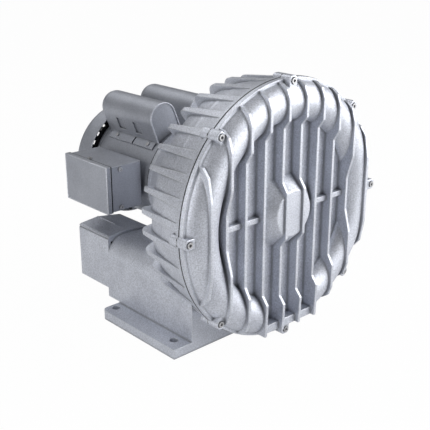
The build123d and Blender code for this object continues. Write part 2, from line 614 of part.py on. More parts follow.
def blade_pocket(face_y, inward):
    """Scooped space between two blades, open at the impeller's face at y = face_y."""
    clear_angle = 360 / BLADES - degrees(BLADE_THICKNESS / CHANNEL_RADIUS)
    with BuildPart() as pocket:
        with BuildSketch(ALONG) as section:
            with BuildLine():
                Polyline((face_y + 4 * inward, CHANNEL_RADIUS + POCKET_HALF_WIDTH),
                         (face_y - inward, CHANNEL_RADIUS + POCKET_HALF_WIDTH),
                         (face_y - inward, CHANNEL_RADIUS - POCKET_HALF_WIDTH),
                         (face_y + 4 * inward, CHANNEL_RADIUS - POCKET_HALF_WIDTH))
                ThreePointArc((face_y + 4 * inward, CHANNEL_RADIUS - POCKET_HALF_WIDTH),
                              (face_y + POCKET_DEPTH * inward, CHANNEL_RADIUS),
                              (face_y + 4 * inward, CHANNEL_RADIUS + POCKET_HALF_WIDTH))
            make_face()
        revolve(section.sketch, axis=SHAFT, revolution_arc=clear_angle)
    return pocket.part


with BuildPart() as impeller:
    ring(IMPELLER_FRONT, IMPELLER_REAR, IMPELLER_RADIUS, RIM_INNER)
    ring(DISC_FRONT, DISC_REAR, RIM_INNER, HUB_RADIUS)
    ring(HUB_FRONT, HUB_REAR, HUB_RADIUS, IMPELLER_SHAFT_RADIUS + FIT)
    add(around(blade_pocket(IMPELLER_FRONT, 1), even(BLADES)), mode=Mode.SUBTRACT)
    add(around(blade_pocket(IMPELLER_REAR, -1), even(BLADES)), mode=Mode.SUBTRACT)
    block((-KEY_WIDTH / 2 - FIT, KEY_WIDTH / 2 + FIT), (HUB_FRONT, HUB_REAR),
          (SHAFT_HEIGHT, SHAFT_HEIGHT + IMPELLER_SHAFT_RADIUS + KEY_DEPTH + FIT), mode=Mode.SUBTRACT)
    with BuildSketch(across(DISC_REAR)) as balance_holes:
        with PolarLocations(88, 6):
            Circle(14)
    extrude(balance_holes.sketch, amount=DISC_REAR - DISC_FRONT, mode=Mode.SUBTRACT)
write(impeller, "impeller")

SHAFT_FRONT = HUB_FRONT + 1
with BuildPart() as motor_shaft:
    ring(SHAFT_FRONT, FRONT_BEARING_REAR, IMPELLER_SHAFT_RADIUS)
    ring(FRONT_BEARING_REAR, REAR_BEARING_FRONT, ROTOR_SHAFT_RADIUS)
    ring(REAR_BEARING_FRONT, FAN_COVER_REAR - 12, REAR_SHAFT_RADIUS)
    block((-KEY_WIDTH / 2 - FIT, KEY_WIDTH / 2 + FIT), (HUB_FRONT + 5, HUB_REAR - 3),
          (SHAFT_HEIGHT + IMPELLER_SHAFT_RADIUS - KEY_DEPTH, SHAFT_HEIGHT + ROTOR_SHAFT_RADIUS),
          mode=Mode.SUBTRACT)
    ring(SHAFT_FRONT, SHAFT_FRONT + 26, 5 + FIT, mode=Mode.SUBTRACT)
write(motor_shaft, "motor_shaft")

with BuildPart() as impeller_key:
    block((-KEY_WIDTH / 2, KEY_WIDTH / 2), (HUB_FRONT + 5.2, HUB_REAR - 3.2),
          (SHAFT_HEIGHT + IMPELLER_SHAFT_RADIUS - KEY_DEPTH, SHAFT_HEIGHT + IMPELLER_SHAFT_RADIUS + KEY_DEPTH))
write(impeller_key, "impeller_key")

with BuildPart() as impeller_washer:
    ring(HUB_FRONT - WASHER_THICKNESS, HUB_FRONT, 19, 5.5)
write(impeller_washer, "impeller_washer")

with BuildPart() as impeller_screw:
    add(Pos(0, HUB_FRONT - WASHER_THICKNESS, SHAFT_HEIGHT) * hex_screw(5, 25, 9.2, 6.5))
write(impeller_screw, "impeller_screw")

FRONT_BEARING_FRONT = FRONT_BEARING_REAR - 15.0
with BuildPart() as impeller_spacer:
    ring(HUB_REAR, FRONT_BEARING_FRONT, SPACER_RADIUS, IMPELLER_SHAFT_RADIUS + FIT)
write(impeller_spacer, "impeller_spacer")


# ---------------------------------------------------------------- bearings

CAGE_HALF_WALL = 0.8


def bearing(front, bore, outside, width, ball, balls, name):
    """Write the races and the caged balls of a deep-groove ball bearing."""
    pitch = (bore + outside) / 2
    middle = front + width / 2
    land = (outside - bore) * 0.26

    with BuildPart() as inner_race:
        ring(front, front + width, bore + FIT + land, bore + FIT)
        with BuildSketch(ALONG) as groove:
            with Locations((middle, pitch)):
                Circle(ball + FIT)
        revolve(groove.sketch, axis=SHAFT, mode=Mode.SUBTRACT)
    write(inner_race, f"{name}_inner_race")

    with BuildPart() as outer_race:
        ring(front, front + width, outside - FIT, outside - FIT - land)
        with BuildSketch(ALONG) as groove:
            with Locations((middle, pitch)):
                Circle(ball + FIT)
        revolve(groove.sketch, axis=SHAFT, mode=Mode.SUBTRACT)
    write(outer_race, f"{name}_outer_race")

    top_place = Pos(0, middle, SHAFT_HEIGHT + pitch)
    solid_balls = around(top_place * Sphere(ball), even(balls))
    pockets = around(top_place * Sphere(ball + FIT), even(balls))
    with BuildPart() as ball_set:
        add(solid_balls)
    write(ball_set, f"{name}_balls")

    with BuildPart() as cage:
        ring(middle - ball * 1.3, middle + ball * 0.8, pitch + CAGE_HALF_WALL, pitch - CAGE_HALF_WALL)
        add(pockets, mode=Mode.SUBTRACT)
    write(cage, f"{name}_cage")


bearing(FRONT_BEARING_FRONT, IMPELLER_SHAFT_RADIUS, 26.0, 15.0, 4.0, 8, "front_bearing")
bearing(REAR_BEARING_FRONT, REAR_SHAFT_RADIUS, 20.0, 12.0, 3.4, 8, "rear_bearing")


# ---------------------------------------------------------------- motor

STATOR_RADIUS = SHELL_INNER - FIT
ROTOR_RADIUS = CORE_BORE - AIR_GAP
SHIELD_RIM = 84.0
BELL_RADIUS = 66.0
FRONT_HUB_RADIUS = 34.0
REAR_SHIELD_REAR = 249.0
FAN_COVER_SCREW_Y = REAR_SHIELD_REAR + 3

with BuildPart() as front_end_shield:
    # rim between casing and shell, and a deep bell that carries the bearing inside the cone
    ring(ADAPTOR_END, SHELL_FRONT, SHIELD_RIM, 60)
    ring(SHELL_FRONT, SHELL_FRONT + 8, SHELL_INNER - FIT, 76)
    bell_mouth = ADAPTOR_END - ADAPTOR_RING
    spin([(bell_mouth, ADAPTOR_BORE - FIT), (SHELL_FRONT, ADAPTOR_BORE - FIT), (SHELL_FRONT, 60),
          (FRONT_BEARING_REAR + 12, FRONT_HUB_RADIUS - 6), (FRONT_BEARING_REAR + 2, FRONT_HUB_RADIUS - 6),
          (FRONT_BEARING_REAR + 2, FRONT_HUB_RADIUS), (bell_mouth, BELL_RADIUS)])
    ring(FRONT_BEARING_FRONT, FRONT_BEARING_REAR + 6, FRONT_HUB_RADIUS, 26)
    ring(FRONT_BEARING_REAR + 1, FRONT_BEARING_REAR + 6, 27, 22)
    with BuildSketch(across(SHELL_FRONT + 8)) as bolt_holes:
        with PolarLocations(THROUGH_BOLT_CIRCLE, 4, start_angle=45):
            Circle(THROUGH_BOLT_RADIUS + 0.5)
    extrude(bolt_holes.sketch, amount=SHELL_FRONT + 8 - ADAPTOR_END, mode=Mode.SUBTRACT)
write(front_end_shield, "front_end_shield")

def tab_holes(radius):
    """Radial drillings for the capacitor covers' tab screws, in the plane of symmetry above the shaft."""
    with BuildPart() as drillings:
        with BuildSketch(Plane.XY.offset(SHAFT_HEIGHT + SHELL_INNER - 1)) as section:
            with Locations(*((0, y) for y in TAB_SCREWS_Y)):
                Circle(radius)
        extrude(section.sketch, amount=SHELL_WALL + 6)
    return drillings.part


with BuildPart() as motor_shell:
    ring(SHELL_FRONT, SHELL_REAR, SHELL_RADIUS, SHELL_INNER)
    # lead hole and screw holes behind the junction box, and screw holes for the capacitor covers
    with BuildSketch(FACING_BOX) as side_holes:
        with Locations((LEAD_HOLE_Y, 0)):
            Circle(LEAD_HOLE_RADIUS)
        with Locations(*BOX_SCREWS):
            Circle(2 + FIT)
    extrude(side_holes.sketch, amount=SHELL_RADIUS + 1, mode=Mode.SUBTRACT)
    add(around(tab_holes(2 + FIT), (TAB_ANGLE, -TAB_ANGLE)), mode=Mode.SUBTRACT)
write(motor_shell, "motor_shell")

with BuildPart() as stator_core:
    with BuildSketch(across(CORE_REAR)) as lamination:
        Circle(STATOR_RADIUS)
        Circle(CORE_BORE, mode=Mode.SUBTRACT)
        with PolarLocations(59, SLOTS):
            Rectangle(20, 6, mode=Mode.SUBTRACT)
        with PolarLocations(47.5, SLOTS):
            Rectangle(6, 2, mode=Mode.SUBTRACT)
        with PolarLocations(THROUGH_BOLT_CIRCLE, 4, start_angle=45):
            Circle(THROUGH_BOLT_RADIUS + 0.5, mode=Mode.SUBTRACT)
    extrude(lamination.sketch, amount=CORE_REAR - CORE_FRONT)
write(stator_core, "stator_core")

with BuildPart() as stator_windings:
    with BuildSketch(across(CORE_REAR + 1)) as conductors:
        with PolarLocations(59, SLOTS):
            Rectangle(20 - 2 * SEAT_GAP, 6 - 2 * SEAT_GAP)
    extrude(conductors.sketch, amount=CORE_REAR - CORE_FRONT + 2)
    for end, outward in ((CORE_FRONT, -1), (CORE_REAR, 1)):
        spin([(end + outward * SEAT_GAP, 48), (end + outward * 14, 50), (end + outward * 17, 56),
              (end + outward * 17, 66), (end + outward * 14, 72), (end + outward * SEAT_GAP, 75)])
write(stator_windings, "stator_windings")

with BuildPart() as rotor_core:
    ring(CORE_FRONT, CORE_REAR, ROTOR_RADIUS, ROTOR_SHAFT_RADIUS + FIT)
write(rotor_core, "rotor_core")

with BuildPart() as vane:
    block((-1.5, 1.5), (CORE_FRONT - 14, CORE_FRONT - 4), (SHAFT_HEIGHT + 32, SHAFT_HEIGHT + 43))

with BuildPart() as rotor_end_rings:
    for near, far in ((CORE_FRONT - 8, CORE_FRONT), (CORE_REAR, CORE_REAR + 8)):
        ring(near, far, ROTOR_RADIUS - 1.5, 30)
    add(around(vane.part, even(10)))
write(rotor_end_rings, "rotor_end_rings")

with BuildPart() as ear:
    # carries the fan cover clear of the shell, and is tapped for its screw
    ear_top = SHAFT_HEIGHT + FAN_COVER_RADIUS - SHEET - SEAT_GAP
    block((-8, 8), (SHELL_REAR + 1, REAR_SHIELD_REAR), (SHAFT_HEIGHT + SHELL_RADIUS - 9, ear_top))
    block((-8, 8), (SHELL_REAR + 1, REAR_SHIELD_REAR + 9), (SHAFT_HEIGHT + FAN_RADIUS + 3, ear_top))
    with BuildSketch(Plane.XY.offset(ear_top)) as tapped:
        with Locations((0, FAN_COVER_SCREW_Y)):
            Circle(2 + FIT)
    extrude(tapped.sketch, amount=-14, mode=Mode.SUBTRACT)

with BuildPart() as rear_end_shield:
    ring(SHELL_REAR - 10, SHELL_REAR, SHELL_INNER - FIT, 76)
    ring(SHELL_REAR, REAR_SHIELD_REAR, SHELL_RADIUS, 24)
    ring(REAR_BEARING_FRONT, REAR_SHIELD_REAR, 27, 20)
    ring(REAR_SHIELD_REAR - 3, REAR_SHIELD_REAR, 24, REAR_SHAFT_RADIUS + 1)
    add(around(ear.part, even(4)))
    with BuildSketch(across(REAR_SHIELD_REAR)) as bolt_holes:
        with PolarLocations(THROUGH_BOLT_CIRCLE, 4, start_angle=45):
            Circle(THROUGH_BOLT_RADIUS + 0.5)
    extrude(bolt_holes.sketch, amount=REAR_SHIELD_REAR - SHELL_REAR + 10, mode=Mode.SUBTRACT)
write(rear_end_shield, "rear_end_shield")

with BuildPart() as bearing_wave_washer:
    ring(REAR_BEARING_FRONT + 12 + FIT, REAR_SHIELD_REAR - 3 - 4, 19.5, 14)
    ring(REAR_BEARING_FRONT + 12 + FIT, REAR_SHIELD_REAR - 3 - FIT, 18, 16)
write(bearing_wave_washer, "bearing_wave_washer")

with BuildPart() as through_bolts:
    length = REAR_SHIELD_REAR - ADAPTOR_END + ADAPTOR_RING - 2
    one = Pos(0, REAR_SHIELD_REAR, SHAFT_HEIGHT + THROUGH_BOLT_CIRCLE) * Rot(Z=180) * hex_screw(
        THROUGH_BOLT_RADIUS, length, 4.6, 3.5)
    add(around(one, even(4, first=45)))
write(through_bolts, "through_bolts")


# ---------------------------------------------------------------- centrifugal start switch

GOVERNOR_FRONT = CORE_REAR + 11.0
PIVOT_Y = GOVERNOR_FRONT + 11.0
PIVOT_RADIUS = 30.0
PIN_RADIUS = 1.2
COLLAR_BORE = ROTOR_SHAFT_RADIUS + 0.1

with BuildPart() as arm:
    # forked arm at the top of the carrier
    block((-6.5, 6.5), (GOVERNOR_FRONT - 1, GOVERNOR_FRONT + 1.5), (SHAFT_HEIGHT + 16, SHAFT_HEIGHT + 26))
    for side in (-1, 1):
        near, far = sorted((side * 4.3, side * 6.5))
        block((near, far), (GOVERNOR_FRONT - 1, PIVOT_Y + 3), (SHAFT_HEIGHT + 24, SHAFT_HEIGHT + 33))
    with BuildSketch(Plane.YZ.offset(7)) as pin_hole:
        with Locations((PIVOT_Y, SHAFT_HEIGHT + PIVOT_RADIUS)):
            Circle(PIN_RADIUS + FIT)
    extrude(pin_hole.sketch, amount=-14, mode=Mode.SUBTRACT)

with BuildPart() as governor_carrier:
    ring(GOVERNOR_FRONT - 1, GOVERNOR_FRONT + 3, 18, ROTOR_SHAFT_RADIUS + FIT)
    add(around(arm.part, even(2)))
write(governor_carrier, "governor_carrier")

with BuildPart() as pin:
    with BuildSketch(Plane.YZ.offset(6.5)) as section:
        with Locations((PIVOT_Y, SHAFT_HEIGHT + PIVOT_RADIUS)):
            Circle(PIN_RADIUS)
    extrude(section.sketch, amount=-13)

with BuildPart() as governor_pins:
    add(around(pin.part, even(2)))
write(governor_pins, "governor_pins")

with BuildPart() as weight:
    with BuildSketch(Plane.YZ.offset(3.9)) as lever:
        with BuildLine():
            Polyline((GOVERNOR_FRONT, SHAFT_HEIGHT + 28.5), (GOVERNOR_FRONT, SHAFT_HEIGHT + 40),
                     (PIVOT_Y - 3, SHAFT_HEIGHT + 40), (PIVOT_Y + 2.5, SHAFT_HEIGHT + 33),
                     (PIVOT_Y + 2.5, SHAFT_HEIGHT + 27), (PIVOT_Y + 4, SHAFT_HEIGHT + 22),
                     (PIVOT_Y + 4, SHAFT_HEIGHT + 19.5), (PIVOT_Y + 1, SHAFT_HEIGHT + 19.5),
                     (PIVOT_Y + 1, SHAFT_HEIGHT + 24), (PIVOT_Y - 2.5, SHAFT_HEIGHT + 28.5), close=True)
        make_face()
        with Locations((PIVOT_Y, SHAFT_HEIGHT + PIVOT_RADIUS)):
            Circle(PIN_RADIUS + FIT, mode=Mode.SUBTRACT)
    extrude(lever.sketch, amount=-7.8)
for name, angle in (("upper_governor_weight", 0), ("lower_governor_weight", 180)):
    with BuildPart() as governor_weight:
        add(weight.part.rotate(SHAFT, angle))
    write(governor_weight, name)

with BuildPart() as governor_collar:
    ring(PIVOT_Y - 4, PIVOT_Y + 12, 17.3, COLLAR_BORE)
    ring(PIVOT_Y - 2, PIVOT_Y, 22, COLLAR_BORE)
    ring(PIVOT_Y + 5, PIVOT_Y + 7, 22, COLLAR_BORE)
    ring(PIVOT_Y + 10, PIVOT_Y + 12, 30, COLLAR_BORE)
write(governor_collar, "governor_collar")

with BuildPart() as start_switch:
    # board on the rear end shield, with a finger that the collar's disc holds in
    with BuildSketch(across(SHELL_REAR)) as board:
        Circle(66)
        Circle(40, mode=Mode.SUBTRACT)
        with Locations((0, -60)):
            Rectangle(140, 66, mode=Mode.SUBTRACT)
    extrude(board.sketch, amount=2)
    block((-4, 4), (PIVOT_Y + 16, SHELL_REAR - 1), (SHAFT_HEIGHT + 42, SHAFT_HEIGHT + 50))
    block((-4, 4), (PIVOT_Y + 12.4, PIVOT_Y + 16), (SHAFT_HEIGHT + 24, SHAFT_HEIGHT + 50))
write(start_switch, "start_switch")


# ---------------------------------------------------------------- cooling fan and its cover

FAN_FRONT = 256.0
FAN_REAR = 280.0
FAN_BLADES = 9

with BuildPart() as fan_blade:
    block((-1.2, 1.2), (FAN_FRONT, FAN_REAR), (SHAFT_HEIGHT + 15, SHAFT_HEIGHT + FAN_RADIUS))

with BuildPart() as cooling_fan:
    ring(FAN_FRONT, FAN_REAR - 2, 16, REAR_SHAFT_RADIUS + FIT)
    ring(FAN_FRONT, FAN_FRONT + 2.5, FAN_RADIUS, 16)
    add(around(fan_blade.part, even(FAN_BLADES)))
write(cooling_fan, "cooling_fan")

with BuildPart() as fan_clip:
    ring(FAN_REAR - 2 + FIT, FAN_REAR - 0.5, 12, REAR_SHAFT_RADIUS + FIT)
write(fan_clip, "fan_clip")

with BuildPart() as fan_cover_hole:
    with BuildSketch(Plane.XY.offset(SHAFT_HEIGHT + FAN_COVER_RADIUS - 4)) as section:
        with Locations((0, FAN_COVER_SCREW_Y)):
            Circle(2.3)
    extrude(section.sketch, amount=8)

with BuildPart() as fan_cover:
    # pressed cup with a rounded rear edge and a ring of slots for the cooling air
    with BuildSketch(ALONG) as wall:
        with BuildLine():
            Polyline((FAN_COVER_REAR - SHEET, 0), (FAN_COVER_REAR, 0), (FAN_COVER_REAR, FAN_COVER_RADIUS - 16))
            CenterArc((FAN_COVER_REAR - 16, FAN_COVER_RADIUS - 16), 16, 0, 90)
            Polyline((FAN_COVER_REAR - 16, FAN_COVER_RADIUS), (SHELL_REAR, FAN_COVER_RADIUS),
                     (SHELL_REAR, FAN_COVER_RADIUS - SHEET), (FAN_COVER_REAR - 16, FAN_COVER_RADIUS - SHEET))
            CenterArc((FAN_COVER_REAR - 16, FAN_COVER_RADIUS - 16), 16 - SHEET, 0, 90)
            Line((FAN_COVER_REAR - SHEET, FAN_COVER_RADIUS - 16), (FAN_COVER_REAR - SHEET, 0))
        make_face()
    revolve(wall.sketch, axis=SHAFT)
    with BuildSketch(across(FAN_COVER_REAR)) as grille:
        with PolarLocations(38, 12):
            SlotOverall(34, 8)
        with PolarLocations(70, 24):
            SlotOverall(22, 8)
    extrude(grille.sketch, amount=4, mode=Mode.SUBTRACT)
    add(around(fan_cover_hole.part, even(4)), mode=Mode.SUBTRACT)
write(fan_cover, "fan_cover")

with BuildPart() as fan_cover_screws:
    placed = Pos(0, FAN_COVER_SCREW_Y, SHAFT_HEIGHT + FAN_COVER_RADIUS) * Rot(X=-90)
    one = placed * hex_screw(2, 9, 4, 2.4)
    add(around(one, even(4)))
write(fan_cover_screws, "fan_cover_screws")


# ---------------------------------------------------------------- capacitors

COVER_INNER_RADIUS = CAPACITOR_COVER_RADIUS - SHEET
CAPACITOR_CENTRE = SHELL_RADIUS + CAPACITOR_RADIUS + SEAT_GAP
CAPACITOR_FRONT = CAPACITOR_COVER_FRONT + 12
DOME = 26.0                     # rounded length at the rear of a cover
STRIP = 3.0                     # thickness of the foot strip
RECESSES_Y = (140.0, 190.0)     # pressed pockets in the side wall above the strip
RECESS_HEIGHTS = (98.0, 121.0)  # from the shaft
RECESS_DEPTH = 3.0


def cover_outline(radius):
    """Arch standing on the shell at the top of the motor, round on top with straight sides."""
    foot = SHELL_RADIUS - 8
    with BuildSketch() as outline:
        with Locations((0, CAPACITOR_COVER_CENTRE)):
            Circle(radius)
        with Locations((0, (CAPACITOR_COVER_CENTRE + foot) / 2)):
            Rectangle(2 * radius, CAPACITOR_COVER_CENTRE - foot)
    return outline.sketch


def on_side(side, near, far):
    """Span of x between two distances from the middle, on the left (side -1) or right (side 1)."""
    return tuple(sorted((side * near, side * far)))


def foot_strip(side):
    """Strip that lies on the shell beside a cover at the top of the motor, with its screw holes."""
    span = on_side(side, COVER_INNER_RADIUS, CAPACITOR_COVER_RADIUS + 13)
    heights = (SHAFT_HEIGHT + 60, SHAFT_HEIGHT + 100)
    with BuildPart() as place:
        block(span, (CAPACITOR_COVER_FRONT + 6, CAPACITOR_COVER_REAR), heights)
        block(span, (BOX_MIDDLE_Y - 2, BOX_MIDDLE_Y + 2), heights, mode=Mode.SUBTRACT)
    with BuildPart() as strip:
        ring(CAPACITOR_COVER_FRONT, CAPACITOR_COVER_REAR, SHELL_RADIUS + STRIP, SHELL_RADIUS + FIT)
        add(place.part, mode=Mode.INTERSECT)
        add(tab_holes(2.3).rotate(SHAFT, -side * (TAB_ANGLE - CAPACITOR_ANGLE)), mode=Mode.SUBTRACT)
    return strip.part


def cover_body(radius, front, grow):
    """Arch with a rounded top and a domed rear end; grow is how much it is larger than the inside."""
    with BuildPart() as body:
        with BuildSketch(across(CAPACITOR_COVER_REAR)) as outline:
            add(cover_outline(radius))
        extrude(outline.sketch, amount=CAPACITOR_COVER_REAR - front)
        extrude(outline.sketch, amount=-(DOME - 3 + grow))
        rear_face = body.faces().sort_by(Axis.Y)[-1]
        arch = rear_face.edges().filter_by(GeomType.CIRCLE) + rear_face.edges().filter_by(Axis.Z)
        fillet(arch, DOME - 6 + grow)
    return body.part


def capacitor_cover(side):
    """Cover at the top of the motor; its foot strip is at the left (side -1) or right (side 1)."""
    outside = cover_body(CAPACITOR_COVER_RADIUS, CAPACITOR_COVER_FRONT, SHEET)
    inside = cover_body(COVER_INNER_RADIUS, CAPACITOR_COVER_FRONT + SHEET, 0)
    strip = foot_strip(side)
    with BuildPart() as cover:
        add(outside)
        front_edge = cover.faces().sort_by(Axis.Y)[0].edges().filter_by(GeomType.CIRCLE)
        fillet(front_edge, 1.2)
        add(inside, mode=Mode.SUBTRACT)
        ring(CAPACITOR_COVER_FRONT - 1, SHELL_REAR + 20, SHELL_RADIUS + FIT, mode=Mode.SUBTRACT)
        ring(SHELL_REAR - SEAT_GAP, SHELL_REAR + 20, FAN_COVER_RADIUS + SEAT_GAP, mode=Mode.SUBTRACT)
        add(strip)
        low, high = (SHAFT_HEIGHT + height for height in RECESS_HEIGHTS)
        for y in RECESSES_Y:
            block(on_side(side, COVER_INNER_RADIUS - RECESS_DEPTH, COVER_INNER_RADIUS + SHEET / 2),
                  (y - 12, y + 12), (low - 2, high + 2))
            block(on_side(side, CAPACITOR_COVER_RADIUS - RECESS_DEPTH, CAPACITOR_COVER_RADIUS + 1),
                  (y - 10, y + 10), (low, high), mode=Mode.SUBTRACT)
    return cover.part


with BuildPart() as upright_capacitor:
    with BuildSketch(across(CAPACITOR_FRONT + CAPACITOR_LENGTH)) as can:
        with Locations((0, CAPACITOR_CENTRE)):
            Circle(CAPACITOR_RADIUS)
    extrude(can.sketch, amount=CAPACITOR_LENGTH)
    fillet(upright_capacitor.edges().filter_by(GeomType.CIRCLE), 3)
    with BuildSketch(across(CAPACITOR_FRONT + CAPACITOR_LENGTH + 8)) as tabs:
        with Locations((-7, CAPACITOR_CENTRE), (7, CAPACITOR_CENTRE)):
            Rectangle(1, 6)
    extrude(tabs.sketch, amount=8)

for cover_name, capacitor_name, side in (("left", "start", -1), ("right", "run", 1)):
    turn = -side * CAPACITOR_ANGLE
    with BuildPart() as turned_cover:
        add(capacitor_cover(side).rotate(SHAFT, turn))
    write(turned_cover, f"{cover_name}_capacitor_cover")
    with BuildPart() as turned_capacitor:
        add(upright_capacitor.part.rotate(SHAFT, turn))
    write(turned_capacitor, f"{capacitor_name}_capacitor")

with BuildPart() as capacitor_cover_screws:
    one = hex_screw(2, STRIP + 2.9, 4, 2.2)
    for y in TAB_SCREWS_Y:
        placed = Pos(0, y, SHAFT_HEIGHT + SHELL_RADIUS + STRIP) * Rot(X=-90) * one
        add(around(placed, (TAB_ANGLE, -TAB_ANGLE)))
write(capacitor_cover_screws, "capacitor_cover_screws")


# ---------------------------------------------------------------- junction box

LID_SCREW_X = -143.0
LID_SCREWS_Z = (BOX_BOTTOM + 8.5, BOX_TOP - 8.5)
LID_TOP_SCREW = (-158.0, 161.0)
SADDLE = ((BOX_MIDDLE_Y - 38, BOX_REAR - 5), (SHAFT_HEIGHT - 26, SHAFT_HEIGHT + 26))
GROUND_SCREW = (BOX_MIDDLE_Y, 18)
INNER_WALL_X = BOX_INNER_X - SHEET


with BuildPart() as junction_box_saddle:
    # block that fills the space between the round shell and the flat box
    block((BOX_INNER_X, -70), *SADDLE)
    ring(BOX_FRONT - 10, BOX_REAR + 10, SHELL_RADIUS + FIT, mode=Mode.SUBTRACT)
    with BuildSketch(FACING_BOX) as side_holes:
        with Locations((LEAD_HOLE_Y, 0)):
            Circle(LEAD_HOLE_RADIUS)
        with Locations(GROUND_SCREW, *BOX_SCREWS):
            Circle(2 + FIT)
    extrude(side_holes.sketch, amount=-BOX_INNER_X, mode=Mode.SUBTRACT)
write(junction_box_saddle, "junction_box_saddle")

with BuildPart() as junction_box:
    # folded sheet, open on the outer side that the lid closes
    block((BOX_OUTER_X + SHEET + FIT, BOX_INNER_X), (BOX_FRONT + SHEET, BOX_REAR - SHEET),
          (BOX_BOTTOM + SHEET, BOX_TOP - SHEET))
    fillet(junction_box.edges().filter_by(Axis.X), 2)
    offset(amount=-SHEET, openings=junction_box.faces().sort_by(Axis.X)[0])
    with BuildSketch(FACING_BOX) as side_holes:
        with Locations((LEAD_HOLE_Y, 0)):
            Circle(LEAD_HOLE_RADIUS)
        with Locations(GROUND_SCREW, *BOX_SCREWS):
            Circle(2 + FIT)
    extrude(side_holes.sketch, amount=-INNER_WALL_X, mode=Mode.SUBTRACT)
    with BuildSketch(standing(BOX_REAR)) as conduit:
        with Locations(((BOX_OUTER_X + BOX_INNER_X) / 2, SHAFT_HEIGHT)):
            Circle(CONDUIT_RADIUS)
    extrude(conduit.sketch, amount=10, mode=Mode.SUBTRACT)
    with BuildSketch(Plane.XY.offset(BOX_TOP)) as top_hole:
        with Locations(LID_TOP_SCREW):
            Circle(2 + FIT)
    extrude(top_hole.sketch, amount=-10, mode=Mode.SUBTRACT)
    with BuildSketch(standing(BOX_FRONT + 10)) as front_holes:
        with Locations(*((LID_SCREW_X, z) for z in LID_SCREWS_Z)):
            Circle(2 + FIT)
    extrude(front_holes.sketch, amount=10, mode=Mode.SUBTRACT)
write(junction_box, "junction_box")

with BuildPart() as junction_box_lid:
    # shallow pan over the open side, with tabs inside the box that its screws thread into
    block((BOX_OUTER_X, BOX_OUTER_X + LID_DEPTH), (BOX_FRONT, BOX_REAR), (BOX_BOTTOM, BOX_TOP))
    fillet(junction_box_lid.edges().filter_by(Axis.X), 2)
    offset(amount=-SHEET, openings=junction_box_lid.faces().sort_by(Axis.X)[-1])
    tab_front = BOX_FRONT + 2 * SHEET + FIT
    for z in LID_SCREWS_Z:
        block((BOX_OUTER_X + 1, LID_SCREW_X + 6), (tab_front, tab_front + SHEET), (z - 4.5, z + 4.5))
    tab_top = BOX_TOP - 2 * SHEET - FIT
    block((BOX_OUTER_X + 1, LID_TOP_SCREW[0] + 6), (LID_TOP_SCREW[1] - 6, LID_TOP_SCREW[1] + 6),
          (tab_top - SHEET, tab_top))
    with BuildSketch(standing(tab_front + SHEET)) as front_holes:
        with Locations(*((LID_SCREW_X, z) for z in LID_SCREWS_Z)):
            Circle(2 + FIT)
    extrude(front_holes.sketch, amount=SHEET, mode=Mode.SUBTRACT)
    with BuildSketch(Plane.XY.offset(tab_top)) as top_hole:
        with Locations(LID_TOP_SCREW):
            Circle(2 + FIT)
    extrude(top_hole.sketch, amount=-SHEET, mode=Mode.SUBTRACT)
write(junction_box_lid, "junction_box_lid")

with BuildPart() as junction_box_lid_screws:
    one = cap_screw(2, 7, 4, 2.4)
    for z in LID_SCREWS_Z:
        add(Pos(LID_SCREW_X, BOX_FRONT + SHEET, z) * one)
    add(Pos(*LID_TOP_SCREW, BOX_TOP - SHEET) * Rot(X=-90) * one)
write(junction_box_lid_screws, "junction_box_lid_screws")

with BuildPart() as junction_box_screws:
    one = Rot(Z=-90) * cap_screw(2, -INNER_WALL_X - SHELL_INNER - 0.1, 4, 2.4)
    for y, below in BOX_SCREWS:
        add(Pos(INNER_WALL_X, y, SHAFT_HEIGHT - below) * one)
write(junction_box_screws, "junction_box_screws")

with BuildPart() as ground_screw:
    y, below = GROUND_SCREW
    add(Pos(INNER_WALL_X, y, SHAFT_HEIGHT - below) * Rot(Z=-90) * hex_screw(2, 8, 4, 2.4))
write(ground_screw, "ground_screw")

BOARD_BOTTOM = SHAFT_HEIGHT + 16
with BuildPart() as terminal_board:
    block((INNER_WALL_X - 5, INNER_WALL_X), (BOX_FRONT + 21, BOX_REAR - 19), (BOARD_BOTTOM, BOARD_BOTTOM + 22))
    with BuildSketch(FACING_BOX.offset(-INNER_WALL_X + 5)) as studs:
        with Locations((BOX_MIDDLE_Y, -BOARD_BOTTOM - 11 + SHAFT_HEIGHT)):
            with GridLocations(14, 1, 6, 1):
                Circle(2.5)
    extrude(studs.sketch, amount=7)
write(terminal_board, "terminal_board")

with BuildPart() as motor_leads:
    # bundle from the windings through the lead hole and up to the terminal board
    with BuildSketch(FACING_BOX.offset(74)) as through:
        with Locations((LEAD_HOLE_Y, 0)):
            Circle(4)
    extrude(through.sketch, amount=-INNER_WALL_X - 74 + 9)
    block((INNER_WALL_X - 9, INNER_WALL_X - 1), (LEAD_HOLE_Y - 8, LEAD_HOLE_Y + 4),
          (SHAFT_HEIGHT - 4, BOARD_BOTTOM - SEAT_GAP))
write(motor_leads, "motor_leads")
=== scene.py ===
import json
from math import cos, pi, radians, sin

